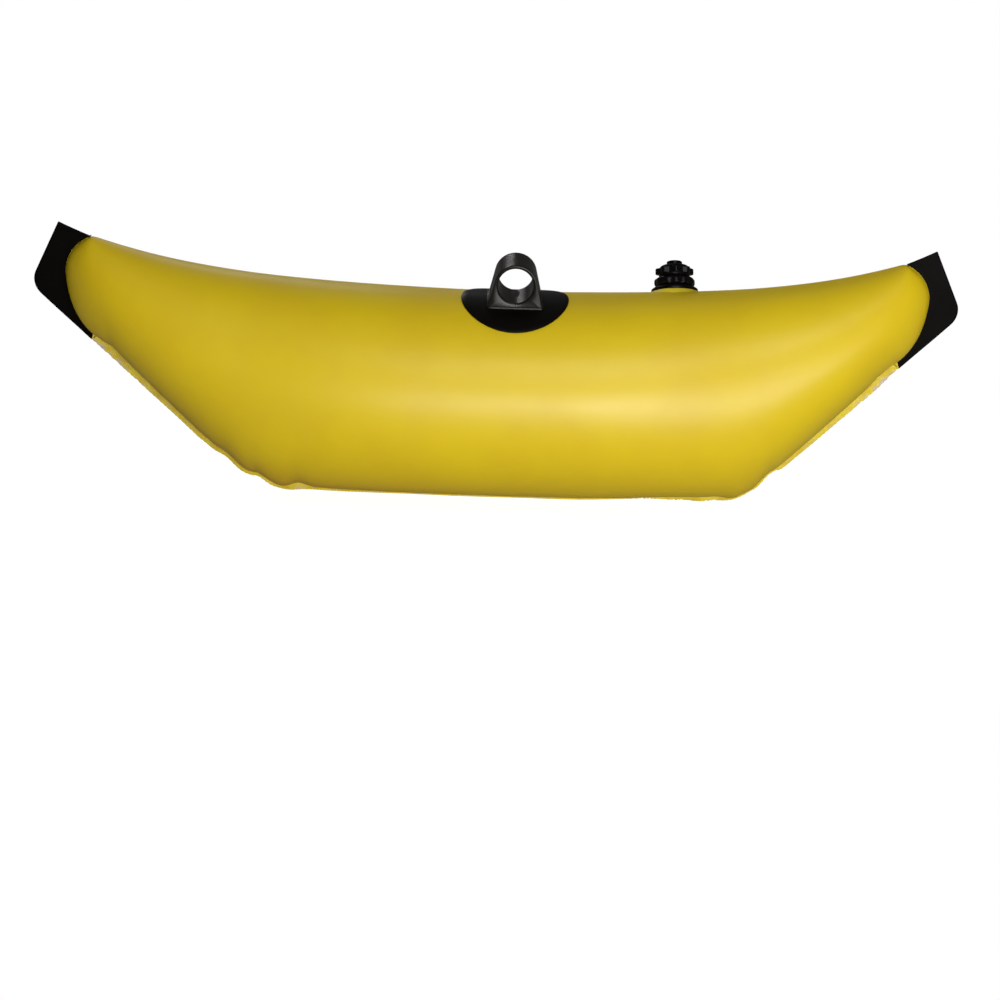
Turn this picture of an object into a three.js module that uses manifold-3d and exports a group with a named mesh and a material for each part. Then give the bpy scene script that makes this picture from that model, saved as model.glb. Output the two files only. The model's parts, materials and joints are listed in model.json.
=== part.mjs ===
// One inflatable outrigger float for a kayak, in millimetres. X runs along the float, Y across it and Z up.
// The front side faces -Y. The origin lies under the middle of the float, at the level of its lowest edge.
import * as THREE from 'three';
import { mergeVertices } from 'three/addons/utils/BufferGeometryUtils.js';
import Module from 'manifold-3d';

const wasm = await Module();
wasm.setup();

// Driving dimensions of the float's skin
const chamberRadius = 107;
const parallelHalf = 75; // half of the length that keeps its full thickness
const planFullness = 0.6; // how blunt the chamber is, seen from above
const endWeldPlace = 395.5; // each end of the chamber is closed along an oval, with its centre here
const endWeldDrop = 54.4; // from the level of the tab's upper corner down to that centre
const endWeldLength = 46.5; // from the oval's centre to its tip
const endWeldAbove = 43.5; // from its centre to its top
const endWeldBelow = 72;
const endRise = 63.4; // how much higher the ends of the top line are than its middle
const gentleRiseShare = 0.55; // the part of the rise that starts in the middle
const filmThickness = 0.8;
const weldWidth = 14;
const endWeldHeight = weldWidth + 2 * chamberRadius + endRise - endWeldDrop;
const seamRun = { bow: 146.5, stern: 134.5 }; // of the sloping seams, from the ovals' centres back along X
const seamClear = { bow: 4.2, stern: 6.9 }; // from the ovals' lowest points down to the seams
const seamCornerRounding = 21;
const tabReach = 49.5; // from the oval's centre to the upper corner of the end tab
const tabEndLean = 27; // of the tab's end edge, in degrees from upright
const tabCornerRadius = 20;
const coverStart = 14.5; // from the oval's centre to where the end cover starts
const chamberTip = endWeldPlace + endWeldLength;
const tabTopReach = endWeldPlace + tabReach;
const coverReach = endWeldPlace + coverStart;

// The puckers of the seam: places as shares of puckerSpan, depths of puckerDepth, reaches of puckerReach
const puckerBack = 145.5; // from the oval's centre back to the middle of the puckers
const puckersInside = 65; // the puckers lie between these distances from their middle
const puckersOutside = 75;
const puckerSpan = endWeldPlace - puckerBack;
const puckerDepth = 6.6;
const puckerReach = 9;
const puckerShares = [
  { at: -1.1, depth: 0.7, reach: 1.1 },
  { at: -0.98, depth: 1, reach: 1 },
  { at: -0.88, depth: -0.42, reach: 1.4 },
  { at: 0.7, depth: 0.5, reach: 6 },
  { at: 1.02, depth: -0.3, reach: 1.7 },
  { at: 1.145, depth: 0.9, reach: 0.9 },
];
const puckerFade = 6; // how fast a pucker fades out above the seam
const puckerStart = puckerSpan - puckersInside;
const puckerEnd = puckerSpan + puckersOutside;

// Clearances
const gap = 0.3; // between pieces that rest on each other
const runningGap = 0.4; // round threads, the flap's stem and the tube in the neck
const overrun = 2; // how far a cut passes the face that it cuts

// End covers: black film folded over the end tabs
const coverFilm = 0.7;
const coverLip = 1.5; // the strip of tab that shows below the cover

// Pole socket and its pad
const socketPlace = 18; // from the middle of the float, along X
const socketForward = 8; // from the top line towards the front, along the girth
const padRadius = 55;
const padThickness = 1.4;
const padEdge = 0.7;
const padBevel = 5;
const boreRadius = 18;
const boreWall = 3.5;
const mouthChamfer = 1.6;
const boreRise = 19.5; // of the bore's axis above the pad
const socketLength = 45;
const socketFootHalf = 27.7;
const socketFootDrop = 26; // below the bore's axis, where the foot has that half width
const ledgeWidth = 1.2;
const ledgeHeight = 1.8;

// Valve: its place, and its levels from the skin outwards
const valvePlace = 186; // from the middle of the float, along X
const valveAngle = 29; // behind the top line, in degrees round the chamber
const patchRadius = 25.2;
const patchRise = 0.8;
const patchSkirtWidth = 5;
const patchSkirtDrop = 5.4;
const flangeRadius = 24.5;
const flangeRim = 1.8;
const collarRadius = 20.2;
const collarRise = 4.2;
const neckRadius = 17;
const neckHeight = 6.8;
const throatRadius = 13.2;
const throatDepth = 2.5; // of the neck's lower end inside the chamber
const sealThickness = 1.3;
const webThickness = 1.8;
const gripRadius = 21.3;
const gripClearance = 0.5; // between the collar and the insert's grip
const gripShoulder = 3.4;
const gripLobes = 12;
const gripLobeDepth = 1.1;
const tubeWall = 1.5;
const tubeDepth = 9.5;
const upperNeckRadius = 12.2;
const upperNeckBore = 9.8;
const upperNeckHeight = 7.4;
const hubRadius = 3.6;
const hubHeight = 2.5;
const spiderThickness = 1.6;
const spokeWidth = 2.2;
const spokes = 4;
const stemRadius = 1.5;
const stemHeadRadius = 2.6;
const stemHeadHeight = 1.3;
const flapRimWidth = 1.1; // of the flap outside the tube's bore
const flapThickness = 0.9;
const flapTravel = 2;
const capWall = 3.1;
const capLift = 0.5; // between the cap and the insert when the cap is tight
const capSealThickness = 1;
const capLobeRadius = 20;
const capLobes = 8;
const capLobeDepth = 3.4;
const capGripRise = 1.9; // from the cap's lower edge to its grip
const capGripHeight = 6.3;
const domeRise = 4.2;
const knobRadius = 8.1;
const knobHeight = 3.8;
const knobBevel = 0.8;
const knobHollowRadius = 6.2;

// How finely curves are cut
const aroundSteps = 32;
const middleSteps = 8;
const cornerSteps = 13;
const endSteps = 11;
const roundSteps = 36;
const lobeSteps = 48;
const padSteps = 5;
const arcSteps = 8;

const up = new THREE.Vector3(0, 0, 1);
const degree = Math.PI / 180;

// The float's lines in its middle plane

function softRamp(distance, rounding) {
  return (distance + Math.hypot(distance, rounding)) / 2;
}

function ridgeHeight(x) {
  const t = Math.abs(x) / tabTopReach;
  const rise = gentleRiseShare * t ** 2 + (1 - gentleRiseShare) * t ** 6;
  return weldWidth + 2 * chamberRadius + endRise * rise;
}

const endOf = (x) => (x < 0 ? 'bow' : 'stern');

// How far x is past the corner of the bottom seam, with the corner rounded
function pastCorner(x) {
  const corner = endWeldPlace - seamRun[endOf(x)];
  return softRamp(Math.abs(x) - corner, seamCornerRounding) - softRamp(-corner, seamCornerRounding);
}

function seamSlope(side) {
  const rise = endWeldHeight - endWeldBelow - seamClear[side] - weldWidth;
  return rise / pastCorner(side === 'bow' ? -endWeldPlace : endWeldPlace);
}

function seamHeight(x) {
  return weldWidth + seamSlope(endOf(x)) * pastCorner(x);
}

function puckerHeight(x) {
  return puckerShares.reduce((sum, pucker) => {
    const distance = (x - pucker.at * puckerSpan) / (pucker.reach * puckerReach);
    return sum + pucker.depth * puckerDepth * Math.exp(-(distance ** 2));
  }, 0);
}

// Half height, half width and centre height of the chamber's section at x
function sectionAt(x) {
  const place = Math.abs(x);
  const past = THREE.MathUtils.clamp((place - parallelHalf) / (chamberTip - parallelHalf), 0, 1);
  const halfWidth = chamberRadius * (1 - past ** 2) ** planFullness;
  let top = ridgeHeight(x);
  let bottom = seamHeight(x);
  if (place > endWeldPlace) {
    const chord = Math.sqrt(Math.max(0, 1 - ((place - endWeldPlace) / endWeldLength) ** 2));
    top = Math.min(top, endWeldHeight + endWeldAbove * chord);
    bottom = endWeldHeight - endWeldBelow * chord;
  }
  return { halfHeight: (top - bottom) / 2, halfWidth, centre: (top + bottom) / 2 };
}

// A point of the chamber's surface. The angle runs from the top line towards the back, and inset is a wall.
function chamberPoint(x, angle, inset = 0) {
  const { halfHeight, halfWidth, centre } = sectionAt(x);
  const tall = halfHeight ** 2 / (halfHeight + inset || 1);
  const wide = halfWidth ** 2 / (halfWidth + inset || 1);
  const fade = ((1 - Math.cos(angle)) / 2) ** puckerFade;
  return new THREE.Vector3(
    x,
    wide * Math.sin(angle),
    centre + tall * Math.cos(angle) + puckerHeight(x) * fade,
  );
}

// The same surface moved outwards along its normal
function skinPoint(x, angle, lift) {
  const point = chamberPoint(x, angle);
  return point.addScaledVector(skinNormal(x, angle), lift);
}

function skinNormal(x, angle) {
  const stepAlong = chamberRadius / 1000;
  const along = chamberPoint(x + stepAlong, angle).sub(chamberPoint(x - stepAlong, angle));
  const round = chamberPoint(x, angle + degree).sub(chamberPoint(x, angle - degree));
  return round.cross(along).negate().normalize();
}

// Places of the chamber's sections: close together at the puckers and the ends
function sectionPlaces() {
  const half = [];
  for (let i = 1; i <= middleSteps / 2; i += 1) half.push((puckerStart * 2 * i) / middleSteps);
  for (let i = 1; i <= cornerSteps; i += 1) {
    half.push(puckerStart + ((puckerEnd - puckerStart) * i) / cornerSteps);
  }
  for (let i = 1; i < endSteps; i += 1) {
    half.push(puckerEnd + (chamberTip - puckerEnd) * Math.sin((Math.PI / 2) * (i / endSteps)));
  }
  return [...half.map((x) => -x).reverse(), 0, ...half];
}

// The inner wall keeps every section at the puckers and every second one elsewhere
function innerPlaces(places) {
  const atPuckers = (x) => Math.abs(x) >= puckerStart && Math.abs(x) <= puckerEnd;
  const middle = (places.length - 1) / 2;
  return places.slice(1, -1).filter((x, i) => atPuckers(x) || (i + 1 - middle) % 2 === 0);
}

// Solids and geometries

function toSolid(geometry) {
  const bare = geometry.clone();
  bare.deleteAttribute('normal');
  bare.deleteAttribute('uv');
  const merged = mergeVertices(bare, 1e-4);
  return new wasm.Manifold(
    new wasm.Mesh({
      numProp: 3,
      vertProperties: new Float32Array(merged.attributes.position.array),
      triVerts: new Uint32Array(merged.index.array),
    }),
  );
}

function toGeometry(solid) {
  const mesh = solid.getMesh();
  const geometry = new THREE.BufferGeometry();
  geometry.setAttribute('position', new THREE.BufferAttribute(new Float32Array(mesh.vertProperties), 3));
  geometry.setIndex(new THREE.BufferAttribute(new Uint32Array(mesh.triVerts), 1));
  geometry.computeVertexNormals();
  return geometry;
}

// A closed skin over rings of points, with one point at each end
function loft(rings, first, last) {
  const count = rings[0].length;
  const points = [first, ...rings.flat(), last];
  const faces = [];
  for (let j = 0; j < count; j += 1) {
    const next = (j + 1) % count;
    faces.push(0, 1 + j, 1 + next);
    for (let i = 0; i + 1 < rings.length; i += 1) {
      const a = 1 + i * count;
      const b = a + count;
      faces.push(a + j, b + j, b + next, a + j, b + next, a + next);
    }
    const end = 1 + (rings.length - 1) * count;
    faces.push(end + j, points.length - 1, end + next);
  }
  const geometry = new THREE.BufferGeometry().setFromPoints(points);
  geometry.setIndex(faces);
  return geometry;
}

function ringAt(x, pointAt) {
  return Array.from({ length: aroundSteps }, (_, j) => pointAt(x, (2 * Math.PI * j) / aroundSteps));
}

// A flat outline in the X and Z directions, given a thickness across Y
function plate(points, thickness, middle = 0) {
  const shape = new THREE.Shape(points);
  const geometry = new THREE.ExtrudeGeometry(shape, { depth: thickness, bevelEnabled: false });
  return geometry.rotateX(Math.PI / 2).translate(0, middle + thickness / 2, 0);
}

// A turned piece on the Z axis. The outline holds [radius, height] pairs.
function turned(outline, steps = roundSteps) {
  const points = outline.map(([radius, height]) => new THREE.Vector2(radius, height));
  return new THREE.LatheGeometry(points, steps).rotateX(Math.PI / 2);
}

// Draws the outer wall of a turned piece in between its lobes
function lobed(geometry, lobes, depth, fromRadius, toRadius) {
  const { position } = geometry.attributes;
  for (let i = 0; i < position.count; i += 1) {
    const radius = Math.hypot(position.getX(i), position.getY(i));
    const share = THREE.MathUtils.clamp((radius - fromRadius) / (toRadius - fromRadius), 0, 1);
    const angle = Math.atan2(position.getY(i), position.getX(i));
    const drawn = radius - (share * depth * (1 - Math.cos(lobes * angle))) / 2;
    const scale = radius > 0 ? drawn / radius : 1;
    position.setXY(i, position.getX(i) * scale, position.getY(i) * scale);
  }
  return geometry;
}

// A turned piece laid on the skin: its radius runs over the skin and its height stands off it
function laidOnSkin(outline, place, girth) {
  const geometry = turned(outline);
  const { position } = geometry.attributes;
  for (let i = 0; i < position.count; i += 1) {
    const angle = (girth + position.getY(i)) / chamberRadius;
    const point = skinPoint(place + position.getX(i), angle, position.getZ(i));
    position.setXYZ(i, point.x, point.y, point.z);
  }
  return geometry;
}

// The body under a surface that stands off the skin by lift, between two places
function skinDrum(from, to, lift) {
  const steps = 8;
  const rings = [];
  for (let i = 0; i <= steps; i += 1) {
    const x = from + ((to - from) * i) / steps;
    rings.push(
      Array.from({ length: 2 * aroundSteps }, (_, j) => skinPoint(x, (Math.PI * j) / aroundSteps, lift)),
    );
  }
  const first = new THREE.Vector3(from, 0, sectionAt(from).centre);
  const last = new THREE.Vector3(to, 0, sectionAt(to).centre);
  return toSolid(loft(rings, first, last));
}

// The float's skin

// The outer edge of the weld along the seam
function weldEdge(x, width) {
  const slope = (seamHeight(x + gap) - seamHeight(x - gap)) / (2 * gap);
  const scale = width / Math.hypot(1, slope);
  return new THREE.Vector2(x + slope * scale, seamHeight(x) + puckerHeight(x) - scale);
}

// The outline of an end tab from the top line round to the seam, with each edge moved out.
// It is worked out towards +X. For the bow it is then turned over.
function tabOutline(side, start, topOut, endOut, lowOut) {
  const along = new THREE.Vector2(Math.sin(tabEndLean * degree), -Math.cos(tabEndLean * degree));
  const out = new THREE.Vector2(Math.cos(tabEndLean * degree), Math.sin(tabEndLean * degree));
  const corner = new THREE.Vector2(tabTopReach, ridgeHeight(tabTopReach)).addScaledVector(out, endOut);
  const slope = new THREE.Vector2(1, seamSlope(side)).normalize();
  const low = weldEdge(side === 'bow' ? -start : start, weldWidth + lowOut);
  low.x = Math.abs(low.x);
  // Where the end edge and the sloping edge would meet
  const gapToCorner = corner.clone().sub(low);
  const run = gapToCorner.cross(along) / slope.cross(along);
  const meet = low.clone().addScaledVector(slope, run);
  const halfTurn = Math.acos(-along.dot(slope)) / 2;
  const radius = tabCornerRadius + endOut;
  const setback = radius * Math.tan(halfTurn);
  const centre = meet
    .clone()
    .addScaledVector(along, -setback)
    .addScaledVector(out, -radius);
  const startAngle = Math.atan2(out.y, out.x);
  const points = [];
  for (let i = 0; i <= arcSteps; i += 1) {
    const x = start + ((tabTopReach - start) * i) / arcSteps;
    points.push(new THREE.Vector2(x, ridgeHeight(x) + topOut));
  }
  points[arcSteps].addScaledVector(out, endOut);
  for (let i = 0; i <= arcSteps; i += 1) {
    const angle = startAngle - (2 * halfTurn * i) / arcSteps;
    const spoke = new THREE.Vector2(Math.cos(angle), Math.sin(angle));
    points.push(centre.clone().addScaledVector(spoke, radius));
  }
  points.push(low);
  if (side === 'stern') return points;
  return points.map((point) => new THREE.Vector2(-point.x, point.y)).reverse();
}

function floatSkin(valveHole) {
  const places = sectionPlaces();
  const outer = places.map((x) => ringAt(x, (place, angle) => chamberPoint(place, angle)));
  const end = (x) => new THREE.Vector3(x, 0, endWeldHeight);
  const chamber = toSolid(loft(outer, end(-chamberTip), end(chamberTip)));
  const inner = innerPlaces(places);
  const insideWall = (place, angle) => chamberPoint(place, angle, filmThickness);
  const cavityRings = inner.map((x) => ringAt(x, insideWall));
  const innerTip = places.at(-1);
  const cavity = toSolid(loft(cavityRings, end(-innerTip), end(innerTip)));
  const edge = places.filter((x) => Math.abs(x) < coverReach).map((x) => weldEdge(x, weldWidth));
  const insideAt = (x) => new THREE.Vector2(x, sectionAt(x).centre);
  const outline = [
    insideAt(coverReach),
    ...tabOutline('stern', coverReach, 0, 0, 0),
    ...edge.reverse(),
    ...tabOutline('bow', coverReach, 0, 0, 0),
    insideAt(-coverReach),
    insideAt(0),
  ];
  const weld = toSolid(plate(outline, 2 * filmThickness));
  return toGeometry(chamber.add(weld).subtract(cavity).subtract(valveHole));
}

// A folded end cover: two leaves joined along the end edge and the top
function endCover(side) {
  const out = gap + coverFilm;
  const middle = side === 'bow' ? -endWeldPlace : endWeldPlace;
  const inside = new THREE.Vector2(middle, endWeldHeight);
  const leaves = [inside, ...tabOutline(side, coverReach, out, out, -coverLip)];
  const folded = plate(leaves, 2 * (filmThickness + out));
  const tabRoom = [inside, ...tabOutline(side, coverReach - overrun, gap, gap, overrun)];
  const room = plate(tabRoom, 2 * (filmThickness + gap));
  const oval = [];
  for (let i = 0; i < 2 * roundSteps; i += 1) {
    const angle = (Math.PI * i) / roundSteps;
    const tall = Math.sin(angle) > 0 ? endWeldAbove : endWeldBelow;
    oval.push(new THREE.Vector2(
      middle + (endWeldLength + gap) * Math.cos(angle),
      endWeldHeight + (tall + gap) * Math.sin(angle),
    ));
  }
  const chamberRoom = plate(oval, chamberRadius);
  return toGeometry(toSolid(folded).subtract(toSolid(room)).subtract(toSolid(chamberRoom)));
}

// Pole socket

const socketGirth = -socketForward;
const socketMiddle = skinPoint(socketPlace, socketGirth / chamberRadius, gap + padThickness + gap);
const boreHeight = socketMiddle.z + boreRise;

function socketPatch() {
  const lower = [];
  const upper = [];
  for (let i = 0; i <= padSteps; i += 1) {
    const radius = (padRadius * i) / padSteps;
    lower.push([radius, gap]);
    const bevel = Math.max(0, radius - padRadius + padBevel) / padBevel;
    upper.push([radius, gap + padThickness - (padThickness - padEdge) * bevel]);
  }
  return laidOnSkin([...lower, ...upper.reverse()], socketPlace, socketGirth);
}

function archOutline() {
  const radius = boreRadius + boreWall;
  const flare = Math.atan2(socketFootHalf - radius, socketFootDrop);
  const below = socketFootDrop + chamberRadius / 4;
  const footHalf = socketFootHalf + Math.tan(flare) * (chamberRadius / 4);
  const points = [new THREE.Vector2(socketPlace - footHalf, boreHeight - below)];
  points.push(new THREE.Vector2(socketPlace + footHalf, boreHeight - below));
  const steps = roundSteps / 2;
  for (let i = 0; i <= steps; i += 1) {
    const angle = flare + ((Math.PI - 2 * flare) * i) / steps;
    points.push(
      new THREE.Vector2(socketPlace + radius * Math.cos(angle), boreHeight + radius * Math.sin(angle)),
    );
  }
  return points;
}

function poleSocket() {
  const seat = gap + padThickness + gap;
  const reach = socketFootHalf + 2 * overrun;
  const under = skinDrum(socketPlace - reach * 2, socketPlace + reach * 2, seat);
  const arch = toSolid(plate(archOutline(), socketLength, socketMiddle.y));
  const half = socketFootHalf + ledgeWidth;
  const ledgeBox = new THREE.BoxGeometry(2 * half, socketLength + 2 * ledgeWidth, chamberRadius);
  ledgeBox.translate(socketPlace, socketMiddle.y, socketMiddle.z);
  const ledgeSkin = skinDrum(socketPlace - reach * 2, socketPlace + reach * 2, seat + ledgeHeight);
  const ledge = toSolid(ledgeBox).intersect(ledgeSkin);
  const boreLength = socketLength + 2 * overrun;
  const half2 = boreLength / 2;
  const mouth = boreRadius + mouthChamfer;
  const inner = half2 - overrun - mouthChamfer;
  const outline = [
    [0, -half2],
    [mouth + overrun, -half2],
    [mouth, -socketLength / 2],
    [boreRadius, -inner],
    [boreRadius, inner],
    [mouth, socketLength / 2],
    [mouth + overrun, half2],
    [0, half2],
  ];
  const bore = turned(outline).rotateX(-Math.PI / 2).translate(socketPlace, socketMiddle.y, boreHeight);
  return toGeometry(arch.add(ledge).subtract(under).subtract(toSolid(bore)));
}

// Valve: every level is counted from the skin along the valve's axis

const flangeBottom = patchRise + gap;
const flangeTop = flangeBottom + flangeRim;
const collarTop = flangeTop + collarRise;
const neckTop = collarTop + neckHeight;
const sealBottom = neckTop + gap;
const webBottom = sealBottom + sealThickness + gap;
const webTop = webBottom + webThickness;
const gripBottom = collarTop + gripClearance;
const tubeRadius = throatRadius - runningGap;
const tubeBore = tubeRadius - tubeWall;
const tubeBottom = webTop - tubeDepth;
const spiderBottom = tubeBottom + gap;
const hubTop = spiderBottom + hubHeight;
const flapTop = tubeBottom - gap;
const upperNeckTop = webTop + upperNeckHeight;
const capBottom = webTop + capLift;
const capBore = upperNeckRadius + runningGap;
const capRadius = capBore + capWall;
const capRoof = upperNeckTop + gap + capSealThickness + gap;
const gripStart = capBottom + capGripRise;
const gripEnd = gripStart + capGripHeight;
const knobBottom = gripEnd + domeRise;
const knobTop = knobBottom + knobHeight;

// The valve's own frame: Z along its axis and X along the float
function valveMatrix() {
  const angle = valveAngle * degree;
  const axis = skinNormal(valvePlace, angle);
  const across = axis.clone().cross(new THREE.Vector3(1, 0, 0)).normalize();
  const along = across.clone().cross(axis);
  return new THREE.Matrix4().makeBasis(along, across, axis).setPosition(chamberPoint(valvePlace, angle));
}

const valveFrame = valveMatrix();

function valveHole() {
  const hole = throatRadius + tubeWall + runningGap;
  const cut = new THREE.CylinderGeometry(hole, hole, chamberRadius / 2, roundSteps).rotateX(Math.PI / 2);
  return toSolid(cut.applyMatrix4(valveFrame));
}

function valvePatch() {
  const hole = throatRadius + tubeWall + runningGap;
  const deep = -chamberRadius / 8;
  const collar = turned([
    [hole, deep],
    [patchRadius + patchSkirtWidth, deep],
    [patchRadius + patchSkirtWidth, patchRise - patchSkirtDrop],
    [patchRadius, patchRise],
    [hole, patchRise],
    [hole, deep],
  ]).applyMatrix4(valveFrame);
  const reach = patchRadius + patchSkirtWidth + overrun;
  const under = skinDrum(valvePlace - reach, valvePlace + reach, gap);
  return toGeometry(toSolid(collar).subtract(under));
}

function valveBase() {
  return turned([
    [throatRadius, -throatDepth],
    [throatRadius + tubeWall, -throatDepth],
    [throatRadius + tubeWall, flangeBottom],
    [flangeRadius, flangeBottom],
    [flangeRadius, flangeTop],
    [collarRadius, collarTop],
    [neckRadius, collarTop],
    [neckRadius, neckTop],
    [throatRadius, neckTop],
    [throatRadius, -throatDepth],
  ]);
}

function ring(inner, outer, bottom, top) {
  return turned([
    [inner, bottom],
    [outer, bottom],
    [outer, top],
    [inner, top],
    [inner, bottom],
  ]);
}

function valveInsert() {
  const skirtBore = neckRadius + runningGap;
  const shoulderRadius = capRadius + runningGap;
  const shellOutline = [
    [tubeBore, tubeBottom],
    [tubeRadius, tubeBottom],
    [tubeRadius, webBottom],
    [skirtBore, webBottom],
    [skirtBore, gripBottom],
    [gripRadius - gripLobeDepth, gripBottom],
    [gripRadius, (gripBottom + webTop) / 2],
    [gripRadius, webTop - gripShoulder],
    [shoulderRadius, webTop],
    [upperNeckRadius, webTop],
    [upperNeckRadius, upperNeckTop],
    [upperNeckBore, upperNeckTop],
    [upperNeckBore, webBottom],
    [tubeBore, webBottom],
    [tubeBore, tubeBottom],
  ];
  const round = turned(shellOutline, lobeSteps);
  const shell = lobed(round, gripLobes, gripLobeDepth, skirtBore + tubeWall, gripRadius);
  const boreRoom = stemRadius + runningGap;
  let body = toSolid(shell).add(toSolid(ring(boreRoom, hubRadius, spiderBottom, hubTop)));
  for (let i = 0; i < spokes; i += 1) {
    const from = (hubRadius + boreRoom) / 2;
    const to = (tubeBore + tubeRadius) / 2;
    const spoke = new THREE.BoxGeometry(to - from, spokeWidth, spiderThickness);
    spoke.translate((from + to) / 2, 0, spiderBottom + spiderThickness / 2);
    body = body.add(toSolid(spoke.rotateZ(((i + 0.5) * 2 * Math.PI) / spokes)));
  }
  return toGeometry(body);
}

function checkFlap() {
  const flapRadius = tubeBore + flapRimWidth;
  const headBottom = hubTop + flapTravel + gap;
  return turned([
    [0, flapTop - flapThickness],
    [flapRadius, flapTop - flapThickness],
    [flapRadius, flapTop],
    [stemRadius, flapTop],
    [stemRadius, headBottom],
    [stemHeadRadius, headBottom],
    [stemRadius, headBottom + stemHeadHeight],
    [0, headBottom + stemHeadHeight],
  ], roundSteps / 2);
}

function valveCap() {
  const domePoints = [];
  for (let i = 0; i <= 4; i += 1) {
    const angle = (Math.PI / 2) * (i / 4);
    domePoints.push([
      knobRadius + (capRadius - knobRadius) * Math.cos(angle),
      gripEnd + domeRise * Math.sin(angle),
    ]);
  }
  const outline = [
    [0, knobTop],
    [0, knobTop - knobHeight / 2],
    [knobHollowRadius, knobTop - knobHeight / 2],
    [knobHollowRadius, capRoof],
    [capBore, capRoof],
    [capBore, capBottom],
    [capRadius, capBottom],
    [capRadius, gripStart],
    [capLobeRadius, gripStart],
    [capLobeRadius, gripEnd],
    ...domePoints,
    [knobRadius, knobTop - knobBevel],
    [knobRadius - knobBevel, knobTop],
    [0, knobTop],
  ];
  return lobed(turned(outline, lobeSteps), capLobes, capLobeDepth, capRadius, capLobeRadius);
}

// Materials

const paint = (color, roughness) => new THREE.MeshStandardMaterial({ color, roughness, metalness: 0 });
const yellowFilm = () => paint(0xd9b92c, 0.42);
const blackFilm = () => paint(0x16120f, 0.5);
const blackMoulding = () => paint(0x232320, 0.45);
const rubber = () => paint(0x101010, 0.7);

// Assembly

const float = new THREE.Group();

function addPiece(parent, name, geometry, material) {
  const mesh = new THREE.Mesh(geometry, material);
  mesh.name = name;
  parent.add(mesh);
  return mesh;
}

addPiece(float, 'float_skin', floatSkin(valveHole()), yellowFilm());
addPiece(float, 'bow_end_cover', endCover('bow'), blackFilm());
addPiece(float, 'stern_end_cover', endCover('stern'), blackFilm());
addPiece(float, 'socket_patch', socketPatch(), blackFilm());
addPiece(float, 'pole_socket', poleSocket(), blackMoulding());
addPiece(float, 'valve_patch', valvePatch(), yellowFilm());

const valve = new THREE.Group();
valve.applyMatrix4(valveFrame);
float.add(valve);
addPiece(valve, 'valve_base', valveBase(), blackMoulding());
const sealTop = sealBottom + sealThickness;
addPiece(valve, 'insert_seal', ring(throatRadius, neckRadius, sealBottom, sealTop), rubber());
addPiece(valve, 'valve_insert', valveInsert(), blackMoulding());
addPiece(valve, 'check_flap', checkFlap(), rubber());
const capSealTop = upperNeckTop + gap + capSealThickness;
addPiece(valve, 'cap_seal', ring(upperNeckBore, upperNeckRadius, upperNeckTop + gap, capSealTop), rubber());
addPiece(valve, 'valve_cap', valveCap(), blackMoulding());

export default float;
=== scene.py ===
import json
import math
import bmesh
import bpy
import numpy as np
from mathutils import Matrix, Vector


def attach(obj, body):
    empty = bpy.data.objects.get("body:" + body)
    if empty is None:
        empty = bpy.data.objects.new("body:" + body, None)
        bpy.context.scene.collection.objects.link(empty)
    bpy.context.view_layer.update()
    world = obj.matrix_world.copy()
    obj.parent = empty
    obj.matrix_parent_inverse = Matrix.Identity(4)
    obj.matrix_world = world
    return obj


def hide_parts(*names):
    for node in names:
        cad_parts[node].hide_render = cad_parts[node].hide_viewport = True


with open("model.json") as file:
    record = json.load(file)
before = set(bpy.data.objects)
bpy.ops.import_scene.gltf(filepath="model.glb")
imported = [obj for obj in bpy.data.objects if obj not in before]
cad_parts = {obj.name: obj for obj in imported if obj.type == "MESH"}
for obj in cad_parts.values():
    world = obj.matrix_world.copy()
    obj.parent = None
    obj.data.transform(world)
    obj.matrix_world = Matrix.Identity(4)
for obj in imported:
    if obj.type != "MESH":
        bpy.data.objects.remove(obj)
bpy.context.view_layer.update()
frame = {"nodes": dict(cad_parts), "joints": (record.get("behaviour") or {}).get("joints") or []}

# The pieces' sizes are in millimetres, as on a drawing, until makePiece turns them into metres. The bumps
# of the materials, the floor, the lamps and the camera are in metres.
millimetre = 0.001


def linearColour(code):
    # A colour written as six hex digits, in the linear values that shaders use
    value = np.array([int(code[i:i + 2], 16) for i in (0, 2, 4)]) / 255
    value = np.where(value <= 0.04045, value / 12.92, ((value + 0.055) / 1.055) ** 2.4)
    return (*value.tolist(), 1.0)


def feed(tree, socket, value):
    # A value from another node is linked, and any other is the socket's own constant, a colour as its code
    if isinstance(value, bpy.types.NodeSocket):
        tree.links.new(value, socket)
    else:
        socket.default_value = linearColour(value) if isinstance(value, str) else value


def feedInOrder(tree, node, *values):
    for socket, value in zip(node.inputs, values):
        feed(tree, socket, value)
    return node.outputs[0]


def addNode(tree, kind, **settings):
    # Settings that name a socket go into it, and the others are the node's own
    node = tree.nodes.new(kind)
    for key, value in settings.items():
        if key in node.inputs:
            feed(tree, node.inputs[key], value)
        else:
            setattr(node, key, value)
    return node


def scalarMath(tree, operation, *values):
    return feedInOrder(tree, addNode(tree, "ShaderNodeMath", operation=operation), *values)


def mixColours(tree, factor, first, second):
    node = addNode(tree, "ShaderNodeMix", data_type="RGBA")
    for index, value in ((0, factor), (6, first), (7, second)):
        feed(tree, node.inputs[index], value)
    return node.outputs[2]


def rampBetween(tree, value, low, high, first=0.0, second=1.0):
    node = addNode(tree, "ShaderNodeMapRange", interpolation_type="SMOOTHSTEP")
    return feedInOrder(tree, node, value, low, high, first, second)


def readMark(tree, name):
    return addNode(tree, "ShaderNodeAttribute", attribute_name=name).outputs["Fac"]


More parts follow.
